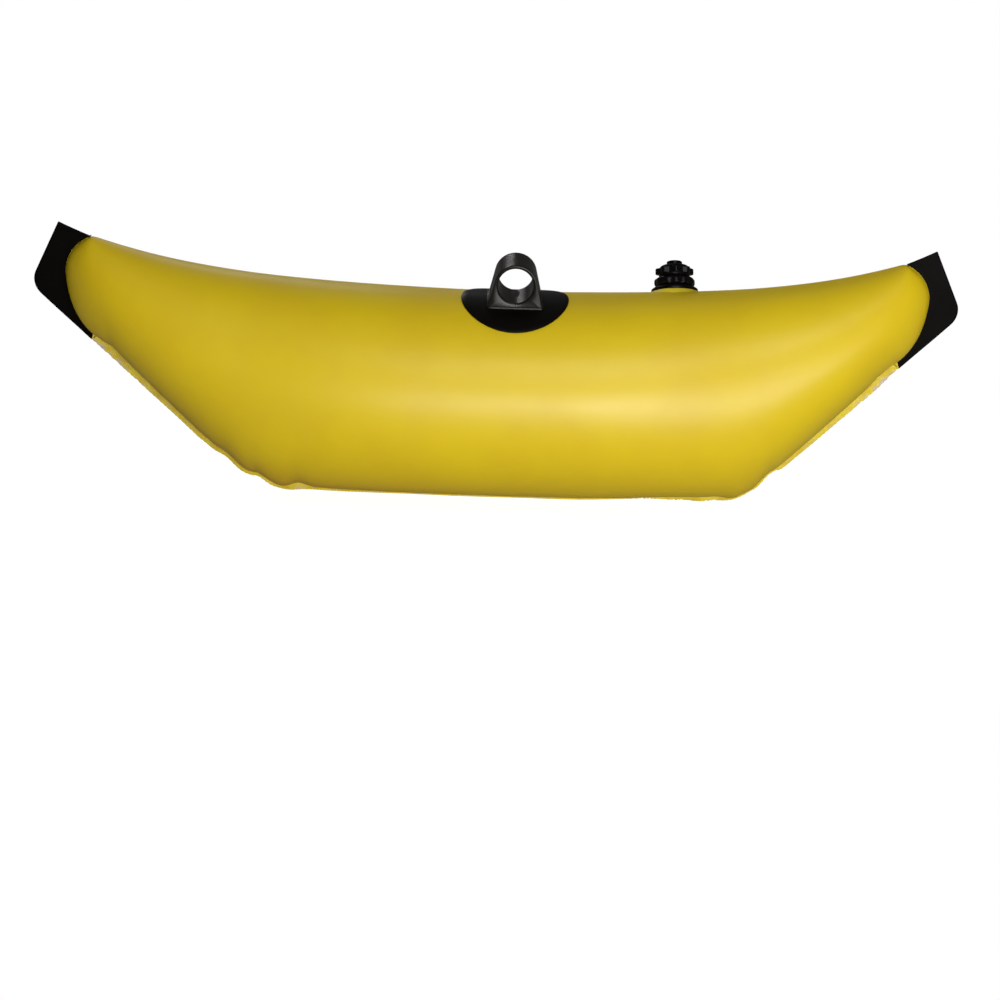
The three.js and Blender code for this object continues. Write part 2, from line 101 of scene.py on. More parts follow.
def softGrain():
    # Slow waves and a fine grain of pressed film: a mottle from 0 to 1 and a height
    group = bpy.data.node_groups.new("softGrain", "ShaderNodeTree")
    for label, value in (("waveScale", 14.0), ("grainScale", 900.0), ("grainShare", 0.2)):
        group.interface.new_socket(label, in_out="INPUT", socket_type="NodeSocketFloat").default_value = value
    for label in ("mottle", "height"):
        group.interface.new_socket(label, in_out="OUTPUT", socket_type="NodeSocketFloat")
    given = group.nodes.new("NodeGroupInput").outputs
    place = addNode(group, "ShaderNodeTexCoord").outputs["Object"]
    wave = addNode(group, "ShaderNodeTexNoise", Detail=3.0, Roughness=0.55, Vector=place,
                   Scale=given["waveScale"]).outputs["Fac"]
    grain = addNode(group, "ShaderNodeTexNoise", Detail=2.0, Roughness=0.6, Vector=place,
                    Scale=given["grainScale"]).outputs["Fac"]
    grainPart = scalarMath(group, "MULTIPLY", grain, given["grainShare"])
    addNode(group, "NodeGroupOutput", mottle=wave, height=scalarMath(group, "ADD", wave, grainPart))
    return group


grainGroup = softGrain()

# The mottle's values between which the gloss changes
glossSpan = (0.2, 0.8)


def newMaterial(name, specular):
    material = bpy.data.materials.new(name)
    material.use_nodes = True
    surface = material.node_tree.nodes["Principled BSDF"].inputs
    feed(material.node_tree, surface["Specular IOR Level"], specular)
    return material, material.node_tree, surface


def addGrain(tree, surface, look):
    # The grain bends the surface a little and changes its gloss. Its mottle is given back for the colours.
    grain = addNode(tree, "ShaderNodeGroup", node_tree=grainGroup, waveScale=look["waveScale"],
                    grainScale=look["grainScale"], grainShare=look["grainShare"]).outputs
    bump = addNode(tree, "ShaderNodeBump", Strength=look["bump"], Distance=look["bumpHeight"],
                   Height=grain["height"])
    feed(tree, surface["Normal"], bump.outputs["Normal"])
    feed(tree, surface["Roughness"], rampBetween(tree, grain["mottle"], *glossSpan, *look["roughness"]))
    return grain["mottle"]


def colourFilm(tree, surface, look, mottle, mark):
    # The base colour with worn patches, and the mark's colour where the mesh has the mark: painted shade for
    # the film's furrow mark, the pale cut edge for the weld's mark
    colour = mixColours(tree, rampBetween(tree, mottle, *look["patches"]), look["base"], look["worn"])
    feed(tree, surface["Base Color"], mixColours(tree, readMark(tree, mark), colour, look[mark]))


# The furrow colour is painted shade, darker and browner, laid on where the mesh's furrow mark says
filmLook = dict(base="dbbe13", worn="d6b714", furrow="cc8814", patches=(0.35, 0.7), roughness=(0.38, 0.43),
                specular=0.46, waveScale=9.0, grainScale=1100.0, grainShare=0.10, bump=0.06,
                bumpHeight=0.0012)


def yellowFilmMaterial():
    # Satin vinyl: a little browner in slow patches, and coloured darker and browner in the furrows and
    # creases of the seam and underneath, which is painted shade
    material, tree, surface = newMaterial("yellowFilm", filmLook["specular"])
    colourFilm(tree, surface, filmLook, addGrain(tree, surface, filmLook), "furrow")
    return material


# The pitch is that of the welding bar's ribs, in millimetres, and the grid's other ribs are closer
# The weld's yellows are lighter than the chamber's: painted light on the thin pressed film
weldLook = dict(base="eed633", worn="e0c426", pale="cdbcc4", patchScale=60.0, patches=(0.4, 0.65), pitch=3.7,
                closer=1.6, knurl=0.6, knurlHeight=0.0004, roughness=0.42, specular=0.3)


def weldMaterial():
    # The pressed weld: coloured brighter than the chamber, painted light for the lit, thin pressed film,
    # with the ribs of the welding bar and a pale cut edge
    material, tree, surface = newMaterial("weldedFilm", weldLook["specular"])
    feed(tree, surface["Roughness"], weldLook["roughness"])
    turn = 2 * math.pi / weldLook["pitch"]
    along = scalarMath(tree, "MULTIPLY", readMark(tree, "along"), turn)
    across = scalarMath(tree, "MULTIPLY", readMark(tree, "across"), turn * weldLook["closer"])
    grid = scalarMath(tree, "MULTIPLY", scalarMath(tree, "SINE", along), scalarMath(tree, "SINE", across))
    bump = addNode(tree, "ShaderNodeBump", Strength=weldLook["knurl"], Distance=weldLook["knurlHeight"],
                   Height=grid)
    feed(tree, surface["Normal"], bump.outputs["Normal"])
    grain = addNode(tree, "ShaderNodeGroup", node_tree=grainGroup, waveScale=weldLook["patchScale"])
    colourFilm(tree, surface, weldLook, grain.outputs["mottle"], "pale")
    return material


coverFilmLook = dict(dark="050403", light="0b0907", roughness=(0.44, 0.56), specular=0.05, waveScale=30.0,
                     grainScale=1300.0, grainShare=0.25, bump=0.15, bumpHeight=0.0008)
padFilmLook = dict(coverFilmLook, roughness=(0.28, 0.36), specular=0.16)
socketLook = dict(dark="110f09", light="19160e", roughness=(0.25, 0.36), specular=0.26, waveScale=60.0,
                  grainScale=2600.0, grainShare=0.6, bump=0.18, bumpHeight=0.0003)
valveLook = dict(socketLook, dark="070707", light="0d0c0c", roughness=(0.21, 0.32), specular=0.12)
rubberLook = dict(socketLook, dark="0c0c0c", light="161615", roughness=(0.57, 0.68), specular=0.3)


def blackMaterial(name, look):
    # Black film, plastic or rubber: two dark tones that the mottle mixes
    material, tree, surface = newMaterial(name, look["specular"])
    colour = mixColours(tree, addGrain(tree, surface, look), look["dark"], look["light"])
    feed(tree, surface["Base Color"], colour)
    return material


yellowFilm = yellowFilmMaterial()
weldedFilm = weldMaterial()
coverFilm = blackMaterial("coverFilm", coverFilmLook)
padFilm = blackMaterial("padFilm", padFilmLook)
socketPlastic = blackMaterial("socketPlastic", socketLook)
valvePlastic = blackMaterial("valvePlastic", valveLook)
sealRubber = blackMaterial("sealRubber", rubberLook)
print("materials made")


def stackLast(*values):
    return np.stack(np.broadcast_arrays(*values), -1)


def unitVector(values):
    return values / np.maximum(np.linalg.norm(values, axis=-1, keepdims=True), 1e-9)


def addObject(name, data):
    thing = bpy.data.objects.new(name, data)
    bpy.context.scene.collection.objects.link(thing)
    return thing


def gridFaces(rows, columns, closedRows, closedColumns):
    # Each face joins a point to its neighbours in the next row and the next column
    row = np.arange(rows if closedRows else rows - 1)[:, None]
    column = np.arange(columns if closedColumns else columns - 1)[None, :]
    nextRow, nextColumn = (row + 1) % rows, (column + 1) % columns
    corners = stackLast(row * columns + column, nextRow * columns + column,
                        nextRow * columns + nextColumn, row * columns + nextColumn)
    return corners.reshape(-1, 4)


def makePiece(name, shells, body, material, nodes=(), marks=None, sharp=40):
    # Each shell is a grid of points with a note whether its rows and its columns close on themselves
    places, faces, count = [], [], 0
    for grid, closedRows, closedColumns in shells:
        places.append(grid.reshape(-1, 3))
        faces.append(gridFaces(grid.shape[0], grid.shape[1], closedRows, closedColumns) + count)
        count += grid.shape[0] * grid.shape[1]
    places, faces = np.concatenate(places) * millimetre, np.concatenate(faces).astype(np.int32)
    mesh = bpy.data.meshes.new(name)
    mesh.vertices.add(len(places))
    mesh.vertices.foreach_set("co", places.astype(np.float32).ravel())
    mesh.loops.add(faces.size)
    mesh.loops.foreach_set("vertex_index", faces.ravel())
    mesh.polygons.add(len(faces))
    mesh.polygons.foreach_set("loop_start", np.arange(0, faces.size, 4, dtype=np.int32))
    mesh.update(calc_edges=True)
    for key, values in (marks or {}).items():
        mark = mesh.attributes.new(key, "FLOAT", "POINT")
        mark.data.foreach_set("value", values.astype(np.float32).ravel())
    work = bmesh.new()
    work.from_mesh(mesh)
    bmesh.ops.remove_doubles(work, verts=work.verts, dist=1e-6)
    bmesh.ops.dissolve_degenerate(work, edges=work.edges, dist=1e-7)
    bmesh.ops.recalc_face_normals(work, faces=work.faces)
    work.to_mesh(mesh)
    work.free()
    mesh.polygons.foreach_set("use_smooth", np.ones(len(mesh.polygons), dtype=bool))
    if sharp:
        mesh.set_sharp_from_angle(angle=math.radians(sharp))
    mesh.materials.append(material)
    piece = addObject(name, mesh)
    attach(piece, body)
    if nodes:
        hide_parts(*nodes)
    print(name, len(mesh.polygons), "faces")
    return piece


def wholeTurn(steps):
    return np.linspace(0, 2 * np.pi, steps, endpoint=False)


def ramp(x, low, high):
    return np.clip((np.asarray(x, float) - low) / (high - low), 0, 1)


def smoothStep(x, low, high):
    share = ramp(x, low, high)
    return share * share * (3 - 2 * share)


def plateau(x, start, end):
    # Up from 0 to 1 over the first span, and back over the second
    return smoothStep(x, *start) * (1 - smoothStep(x, *end))


def bell(x, place, reach):
    # e to the minus square of the distance over the reach
    return np.exp(-((x - place) / reach) ** 2)


def sineWave(x, height, length, start=0.0):
    # The length is that of one radian
    return height * np.sin(x / length + start)


def unevenWaves(x, first, second, third):
    # The product of two sine waves, and a third one added
    return sineWave(x, *first) * sineWave(x, *second) + sineWave(x, *third)


# The driving sizes. A pair is for the bow's side and the stern's side, and tabShift moves a tab's corner.
floatSizes = dict(
    chamberRadius=107.0, parallelHalf=75.0, planFullness=0.6, endPlace=395.5, endDrop=54.4, endLength=46.5,
    endAbove=43.5, endBelow=72.0, endRise=63.4, gentleShare=0.55, filmThickness=0.8, weldWidth=14.0,
    seamRun=(146.5, 134.5), seamClear=(4.2, 6.9), cornerRounding=21.0, tabReach=49.5, tabLean=27.0,
    tabCorner=20.0, coverStart=14.5, meetRounding=2.0, sideRounding=18.0, ridgePower=4, seamPower=6,
    tabShift=dict(bow=(0.7, -1.8), stern=(-1.8, -1.0)))

# The puckers of the seam and its sharper kinks: place, depth and reach
puckers = np.array([(-275.0, 4.62, 9.9), (-245.0, 6.6, 9.0), (-220.0, -2.772, 12.6),
                    (175.0, 3.3, 54.0), (255.0, -1.98, 15.3), (286.25, 5.94, 8.1)])
kinks = np.array([(-303.0, -1.6, 9.0), (-250.0, -1.6, 3.5), (-197.0, -0.6, 3.0), (275.5, -1.6, 4.0),
                  (281.0, -2.4, 12.0), (292.5, 2.0, 3.5)])
kinkRounding = 0.6

# The sag of the film: along the bottom, on the stern's slope, and where it hangs more or less by itself
sagSizes = dict(bottom=1.8, bottomEnd=(215, 250), slope=6.5, slopeStart=(236, 262), slopeEnd=(385, 409))
sagBells = np.array([(284.0, 3.0, 8.0), (205.0, -1.2, 30.0), (-202.0, -5.5, 11.0)])

radius = floatSizes["chamberRadius"]
endPlace = floatSizes["endPlace"]
tip = endPlace + floatSizes["endLength"]
tabTop = endPlace + floatSizes["tabReach"]
coverFrom = endPlace + floatSizes["coverStart"]
weldWidth = floatSizes["weldWidth"]
endHeight = weldWidth + 2 * radius + floatSizes["endRise"] - floatSizes["endDrop"]
film = floatSizes["filmThickness"]
gap = 0.3


def softRamp(distance):
    return (distance + np.hypot(distance, floatSizes["cornerRounding"])) / 2


def ridgeHeight(x):
    # The top line: a gentle curve of the second power with a steeper one of the sixth near the ends
    t = np.abs(x) / tabTop
    rise = floatSizes["gentleShare"] * t ** 2 + (1 - floatSizes["gentleShare"]) * t ** 6
    return weldWidth + 2 * radius + floatSizes["endRise"] * rise


def sideValue(x, pair):
    return np.where(np.asarray(x) < 0, pair[0], pair[1])


def pastCorner(x):
    corner = endPlace - sideValue(x, floatSizes["seamRun"])
    return softRamp(np.abs(x) - corner) - softRamp(-corner)


def seamHeight(x):
    # The seam runs level in the middle and climbs past its rounded corners
    rise = endHeight - floatSizes["endBelow"] - sideValue(x, floatSizes["seamClear"]) - weldWidth
    return weldWidth + rise / pastCorner(np.where(np.asarray(x) < 0, -endPlace, endPlace)) * pastCorner(x)


def puckerHeight(x):
    # The sum of the puckers, each its depth times a bell, and of the kinks, each its depth times e to the
    # minus distance over its reach
    x = np.asarray(x, float)[..., None]
    place, depth, reach = puckers.T
    soft = (depth * bell(x, place, reach)).sum(-1)
    place, depth, reach = kinks.T
    return soft + (depth * np.exp(-np.hypot(x - place, kinkRounding) / reach)).sum(-1)


def edgeSag(x):
    # How far the full film hangs down over the weld
    x = np.asarray(x, float)
    slope = plateau(x, sagSizes["slopeStart"], sagSizes["slopeEnd"])
    bottom = 1 - smoothStep(np.abs(x), *sagSizes["bottomEnd"])
    place, depth, reach = sagBells.T
    bells = (depth * bell(x[..., None], place, reach)).sum(-1)
    return sagSizes["bottom"] * bottom + sagSizes["slope"] * slope + bells


def chamberPoint(x, angle):
    # An ellipse at every x, its half width narrowing to the ends and its height set by the top line,
    # the seam and the oval that closes the end. The puckers lift its lowest part.
    x, angle = np.broadcast_arrays(np.asarray(x, float), np.asarray(angle, float))
    far = np.abs(x)
    halfWidth = radius * (1 - ramp(far, floatSizes["parallelHalf"], tip) ** 2) ** floatSizes["planFullness"]
    beyond = np.clip(far - endPlace, 0, None)
    chord = np.sqrt(np.clip(1 - (beyond / floatSizes["endLength"]) ** 2, 0, 1))
    # The top is the lower of the top line and the oval, rounded where they meet: closely along the
    # ridge and softly down the sides
    ridge, oval = ridgeHeight(x), endHeight + floatSizes["endAbove"] * chord
    facing = ((1 + np.cos(angle)) / 2) ** floatSizes["ridgePower"]
    rounding = (floatSizes["meetRounding"] * facing + floatSizes["sideRounding"] * (1 - facing)) * chord
    top = (ridge + oval - np.hypot(ridge - oval, rounding)) / 2
    clear = sideValue(x, floatSizes["seamClear"]) * np.clip(1 - beyond / floatSizes["coverStart"], 0, 1)
    bottom = np.where(far > endPlace, endHeight - (floatSizes["endBelow"] + clear) * chord, seamHeight(x))
    fade = ((1 - np.cos(angle)) / 2) ** floatSizes["seamPower"]
    z = (top + bottom) / 2 + (top - bottom) / 2 * np.cos(angle) + (puckerHeight(x) - edgeSag(x)) * fade
    return stackLast(x, halfWidth * np.sin(angle), z)


def skinNormal(x, angle, step=0.1, turn=0.01):
    # The cross product of the small steps along the float and round it
    along = chamberPoint(x + step, angle) - chamberPoint(x - step, angle)
    about = chamberPoint(x, angle + turn) - chamberPoint(x, angle - turn)
    return unitVector(np.cross(along, about))


def skinPoint(x, angle, lift):
    return chamberPoint(x, angle) + skinNormal(x, angle) * np.asarray(lift, float)[..., None]


# A wave is its height, the length of one radian and its start. Some sizes set painted shade: how much
# darker the furrow, the creases and the underside are coloured.
chamberLook = dict(
    middleHalf=325.0, middleSteps=150, endSteps=46, roundSteps=104, seamCrowding=0.74,
    furrowDepth=0.9, furrowReach=3.2, furrowShadeShare=0.7, creasePower=1.6, fullShade=2.2,
    wrinkleDepth=0.35, wrinkleReach=9.0, wrinkleStart=(215, 255), wrinklePitch=11.0,
    wrinkleDrift=((1.7, 23.0), (0.9, 7.1, 2.0)), wrinkleLeast=0.35, wrinkleChange=(1.0, 31.0, 0.6),
    unevenness=0.22, slowLengths=(27.0, 43.0), slowTwist=1.3, slowStart=0.7, endFade=(36.0, 6.0),
    underShade=1.0, underShadeReach=60.0, underShadeEnd=(-230, 120))

# Creases that run up from the seam: place, depth, width, reach up the skin and lean
creases = np.array([
    (-291.0, 1.3, 4.5, 16.0, 0.55), (-275.0, 2.0, 5.5, 26.0, 0.50), (-262.0, 1.2, 4.0, 18.0, 0.35),
    (-246.0, 2.4, 5.5, 30.0, 0.30), (-233.0, 1.0, 4.0, 16.0, 0.20), (-203.0, 1.1, 5.0, 20.0, -0.10),
    (-188.0, 1.4, 6.0, 24.0, 0.25), (214.0, 0.8, 6.0, 20.0, -0.20), (232.0, 0.9, 5.0, 18.0, 0.10),
    (248.0, 1.2, 5.0, 20.0, -0.25), (272.0, 1.3, 4.5, 18.0, -0.35), (286.0, 2.6, 4.8, 28.0, -0.55),
    (300.0, 1.0, 4.0, 16.0, -0.45)])


def skinRelief(x, angle):
    # How far the film stands in from the plain chamber: the furrow above the weld, the creases that fade
    # up the skin, short wrinkles across the sloping seams and slow waves everywhere. The second value
    # is painted shade: how much darker and browner the film is coloured in the furrow, in the creases
    # and where it turns under.
    look = chamberLook
    girth = radius * np.abs(np.pi - angle)
    place, depth, width, reach, lean = creases.T
    offset = (x[..., None] - place - lean * girth[..., None]) / width
    crease = (depth * np.exp(-offset ** 2 - (girth[..., None] / reach) ** look["creasePower"])).sum(-1)
    furrow = look["furrowDepth"] * bell(girth, 0, look["furrowReach"])
    drift = sum(sineWave(x, *wave) for wave in look["wrinkleDrift"])
    ripple = 0.5 + 0.5 * np.sin(2 * np.pi * x / look["wrinklePitch"] + drift)
    strength = look["wrinkleLeast"] + (1 - look["wrinkleLeast"]) * sineWave(x, *look["wrinkleChange"]) ** 2
    strength = strength * ramp(np.abs(x), *look["wrinkleStart"]) * np.exp(-girth / look["wrinkleReach"])
    wrinkle = look["wrinkleDepth"] * strength * ripple
    first, second = look["slowLengths"]
    waves = np.sin(x / first + look["slowTwist"] * np.sin(3 * angle))
    waves = waves + np.sin(x / second - 2 * angle + look["slowStart"])
    slow = look["unevenness"] * (1 + waves / 2) / 2
    fade = 1 - ramp(np.abs(x), *(tip - inside for inside in look["endFade"]))
    # Painted shade: the film is coloured browner where it turns under, most of all on the bow's side
    under = look["underShade"] * bell(girth, 0, look["underShadeReach"]) * (1 - smoothStep(x, *look["underShadeEnd"]))
    paintedShade = np.clip((crease + look["furrowShadeShare"] * furrow) / look["fullShade"] + under, 0, 1)
    return (crease + furrow + wrinkle + slow) * fade, paintedShade * fade


def floatFilm():
    look = chamberLook
    inner = np.linspace(0, look["middleHalf"], look["middleSteps"] + 1)[1:]
    turn = np.pi / 2 * np.arange(1, look["endSteps"] + 1) / look["endSteps"]
    half = np.concatenate([inner, look["middleHalf"] + (tip - look["middleHalf"]) * np.sin(turn)])
    x = np.concatenate([-half[::-1], [0], half])[:, None]
    turn = wholeTurn(look["roundSteps"])[None, :]
    x, angle = np.broadcast_arrays(x, turn + look["seamCrowding"] * np.sin(turn))
    # The second value is the painted shade, which the furrow mark carries into the film's colour
    relief, furrow = skinRelief(x, angle)
    skin = skinPoint(x, angle, -relief)
    skin[0], skin[-1] = (-tip, 0, endHeight), (tip, 0, endHeight)
    return makePiece("floatFilm", [(skin, False, True)], "float", yellowFilm,
                     ["float_skin"], {"furrow": furrow}, sharp=0)


def valvePlace():
    # The valve's own axes, from the joint that its insert turns on: Z along it and X along the float
    turning = next(joint for joint in frame["joints"] if joint["name"] == "insert_turn")
    axis = unitVector(np.array(turning["axis"]))
    across = unitVector(np.cross(axis, (1, 0, 0)))
    return np.stack([np.cross(across, axis), across, axis]), np.array(turning["pos_m"]) / millimetre


valveAxes, valveOrigin = valvePlace()


def toValve(points):
    return points @ valveAxes + valveOrigin


def roundValve(spread, turn, level):
    return toValve(stackLast(spread * np.cos(turn), spread * np.sin(turn), level))


holeSizes = dict(radius=15.1, slack=0.05, drillHalf=30.0, depth=40.0, steps=72)


def cutValveHole(piece):
    # A round hole through the film where the valve's neck goes in
    turn = wholeTurn(holeSizes["steps"])[None, :]
    level = np.array([-1.0, -1.0, 1.0, 1.0])[:, None] * holeSizes["drillHalf"]
    wide = np.array([0.0, 1.0, 1.0, 0.0])[:, None] * holeSizes["radius"]
    drill = roundValve(wide, turn, level)
    cutter = makePiece("holeCutter", [(drill, False, True)], "float", yellowFilm)
    cut = piece.modifiers.new("hole", "BOOLEAN")
    cut.operation, cut.object, cut.solver = "DIFFERENCE", cutter, "EXACT"
    finished = bpy.data.meshes.new_from_object(piece.evaluated_get(bpy.context.evaluated_depsgraph_get()))
    piece.modifiers.remove(cut)
    piece.data = finished
    bpy.data.objects.remove(cutter, do_unlink=True)
    # The cut closes the hole with the drill's wall, which goes again
    work = bmesh.new()
    work.from_mesh(finished)
    axis, origin = Vector(valveAxes[2]), Vector(valveOrigin * millimetre)
    reach, depth = (holeSizes["radius"] + holeSizes["slack"]) * millimetre, holeSizes["depth"] * millimetre
    plug = []
    for face in work.faces:
        away = face.calc_center_median() - origin
        height = away.dot(axis)
        if (away - axis * height).length < reach and height > -depth:
            plug.append(face)
    bmesh.ops.delete(work, geom=plug, context="FACES")
    work.to_mesh(finished)
    work.free()
    return piece


chamber = cutValveHole(floatFilm())
wall = chamber.modifiers.new("wall", "SOLIDIFY")
wall.thickness, wall.offset = film * millimetre, -1


def weldEdge(x, width, step=0.3):
    slope = (seamHeight(x + step) - seamHeight(x - step)) / (2 * step)
    scale = width / np.hypot(1, slope)
    return stackLast(x + slope * scale, seamHeight(x) + puckerHeight(x) - scale)


def tabOutline(side, start, topOut, endOut, lowOut, steps=28, step=0.5):
    # The tab's edge from the top line round its corner to the weld's edge, worked out towards +X:
    # the top line, an arc between the leaning end edge and the sloping edge, and the start of the slope
    sign = -1 if side == "bow" else 1
    lean = math.radians(floatSizes["tabLean"])
    along, out = np.array([math.sin(lean), -math.cos(lean)]), np.array([math.cos(lean), math.sin(lean)])
    shift = np.array(floatSizes["tabShift"][side])
    corner = np.array([tabTop, ridgeHeight(tabTop)]) + shift + out * endOut
    rise = (seamHeight(sign * (endPlace + step)) - seamHeight(sign * (endPlace - step))) / (2 * step)
    slope = np.array([1.0, rise]) / math.hypot(1.0, rise)
    low = weldEdge(np.array(sign * start, float), weldWidth + lowOut)
    low[0] = abs(low[0])
    toCorner = corner - low
    run = (toCorner[0] * along[1] - toCorner[1] * along[0]) / (slope[0] * along[1] - slope[1] * along[0])
    meet = low + slope * run
    halfTurn = math.acos(-along @ slope) / 2
    arcRadius = floatSizes["tabCorner"] + endOut
    centre = meet - along * arcRadius * math.tan(halfTurn) - out * arcRadius
    turn = math.atan2(out[1], out[0]) - 2 * halfTurn * np.linspace(0, 1, steps)
    x = np.linspace(start, tabTop, steps)
    topLine = stackLast(x, ridgeHeight(x) + topOut) + shift * np.linspace(0, 1, steps)[:, None]
    topLine[-1] += out * endOut
    arc = centre + arcRadius * stackLast(np.cos(turn), np.sin(turn))
    outline = np.concatenate([topLine, arc, low[None]])
    outline[:, 0] *= sign
    return outline


def resample(path, count):
    # Points at equal steps along a path
    length = np.concatenate([[0], np.cumsum(np.linalg.norm(np.diff(path, axis=0), axis=1))])
    step = np.linspace(0, length[-1], count)
    return stackLast(*(np.interp(step, length, path[:, i]) for i in range(2)))


def ovalPath(side, grow, fromAngle, toAngle, count):
    # The oval that closes the chamber's end, between two angles from its tip, in degrees
    angle = np.radians(np.linspace(fromAngle, toAngle, count))
    tall = np.where(np.sin(angle) > 0, floatSizes["endAbove"], floatSizes["endBelow"]) + grow
    x = endPlace + (floatSizes["endLength"] + grow) * np.cos(angle)
    return stackLast(x * (-1 if side == "bow" else 1), endHeight + tall * np.sin(angle))


def strip(inner, outer, halfThickness, wave, rimSteps=5, acrossSteps=4):
    # A flat band between two paths: its section runs out along the front, round the rim and back. Its
    # first and last rows close it, each in one point.
    share = np.linspace(0, 1, acrossSteps)
    turn = np.linspace(-np.pi / 2, np.pi / 2, rimSteps + 2)[1:-1]
    level = np.concatenate([-np.ones(acrossSteps), np.sin(turn), np.ones(acrossSteps)])
    across = np.concatenate([share, 1 + 0 * turn, share[::-1]])
    bulge = np.concatenate([0 * share, np.cos(turn), 0 * share]) - 1
    direction = outer - inner
    rim = (across >= 1)[None, :, None] * bulge[None, :, None] * halfThickness
    flat = inner[:, None] + direction[:, None] * across[None, :, None] + unitVector(direction)[:, None] * rim
    y = level[None, :] * halfThickness + np.asarray(wave).reshape(-1, 1) * across[None, :]
    grid = stackLast(flat[..., 0], y, flat[..., 1])
    first, last = (grid[[i]].mean(1, keepdims=True) + 0 * grid[[i]] for i in (0, -1))
    return np.concatenate([first, grid, last]), np.broadcast_to(across, grid.shape[:2])


# A pair is where something starts and is whole, and a wave is its height, the length of one radian and
# its start
flangeLook = dict(
    steps=1500, tabSteps=120, tabOval=(60, -70), tabInside=1.5, tabTopOut=-3.0, seamInside=1.2,
    sternExtra=2.2, sternStart=(262, 290), sternEnd=(385, 409), knurlDepth=0.35, knurlStart=(60, 180),
    crumple=0.5, crumpleStart=(330, 370), crumpleWaves=((1.0, 2.3), (1.0, 5.1, 1.0), (0.6, 1.1, 0.5)),
    serration=0.9, serrationStart=(140, 165), serrationEnd=(238, 246),
    serrationWaves=((1.0, 0.9), (1.0, 2.7, 0.4), (0.5, 6.1)),
    wave=1.6, wavePlace=255, waveReach=55, waveLength=6.3, waveDrift=(0.8, 17.0),
    slowWave=(0.35, 19.0), slowWaveEnd=(320, 380), paleStart=(0.62, 0.9), paleLeast=0.45,
    paleWaves=((0.7, 4.0), (1.0, 1.9, 1.0)), paleCover=(404, 16), palePucker=(-204, 8), puckerShare=0.8,
    slopeShare=0.25, slopeStart=(285, 345))


def padRows(values):
    return np.concatenate([values[:1], values, values[-1:]])


def weldFlange():
    # One band from the bow's tab along the seam to the stern's tab. Its inner path lies inside the
    # chamber: on the oval at the tabs and just above the seam between them.
    look = flangeLook
    x = np.linspace(-coverFrom, coverFrom, look["steps"])
    wider = plateau(x, look["sternStart"], look["sternEnd"])
    low = weldEdge(x, weldWidth + look["sternExtra"] * wider)
    inside = look["seamInside"] + np.clip(-edgeSag(x), 0, None)
    seam = stackLast(x, seamHeight(x) + puckerHeight(x) + inside)
    knurl = 0.5 + 0.5 * np.sin(2 * np.pi * x / weldLook["pitch"])
    knurl = look["knurlDepth"] * ramp(np.abs(x), *look["knurlStart"]) * knurl
    # The edge frays near the tabs and, more finely, along the bottom towards the stern
    ragged = look["crumple"] * ramp(np.abs(x), *look["crumpleStart"]) * unevenWaves(x, *look["crumpleWaves"])
    serrated = look["serration"] * plateau(x, look["serrationStart"], look["serrationEnd"])
    serrated = serrated * unevenWaves(x, *look["serrationWaves"])
    worn = knurl + np.clip(ragged, 0, None) + np.clip(serrated, 0, None)
    low = low - unitVector(low - seam) * worn[:, None]
    tabEdges, tabOvals = [], []
    for side in ("bow", "stern"):
        edge = tabOutline(side, coverFrom, look["tabTopOut"], 0, 0)
        tabEdges.append(resample(edge, look["tabSteps"]))
        tabOvals.append(ovalPath(side, -look["tabInside"], *look["tabOval"], look["tabSteps"]))
    outer = np.concatenate([tabEdges[0], low, tabEdges[1][::-1]])
    inner = np.concatenate([tabOvals[0], seam, tabOvals[1][::-1]])
    place, far = outer[:, 0], np.abs(outer[:, 0])
    wave = look["wave"] * bell(far, look["wavePlace"], look["waveReach"])
    wave = wave * np.sin(place / look["waveLength"] + sineWave(place, *look["waveDrift"]))
    wave = wave + sineWave(place, *look["slowWave"]) * (1 - ramp(far, *look["slowWaveEnd"]))
    band, share = strip(inner, outer, film, wave)
    # Pale bits of the cut edge, most of them by the covers and at the bow's wide pucker
    first, second = look["paleWaves"]
    blotch = np.clip(look["paleLeast"] + sineWave(place, *first) * sineWave(place, *second), 0, 1)
    spots = bell(far, *look["paleCover"]) + look["puckerShare"] * bell(place, *look["palePucker"])
    spots = spots + look["slopeShare"] * smoothStep(far, *look["slopeStart"])
    spots = spots * (outer[:, 1] < endHeight)
    pale = smoothStep(share, *look["paleStart"]) * np.clip(spots * blotch, 0, 1)[:, None]
    return makePiece("weldFlange", [(band, False, True)], "float", weldedFilm, ["float_skin"],
                     {"across": padRows(share * weldWidth), "along": padRows(place[:, None] + 0 * share),
                      "pale": padRows(pale)})


weldFlange()

coverLook = dict(film=0.7, low=0.3, wave=0.25, waveLength=17.0, waveStart=0.5, taper=1.4, taperReach=7.0,
                 steps=220, rimSteps=7, acrossSteps=8, searchSteps=400)


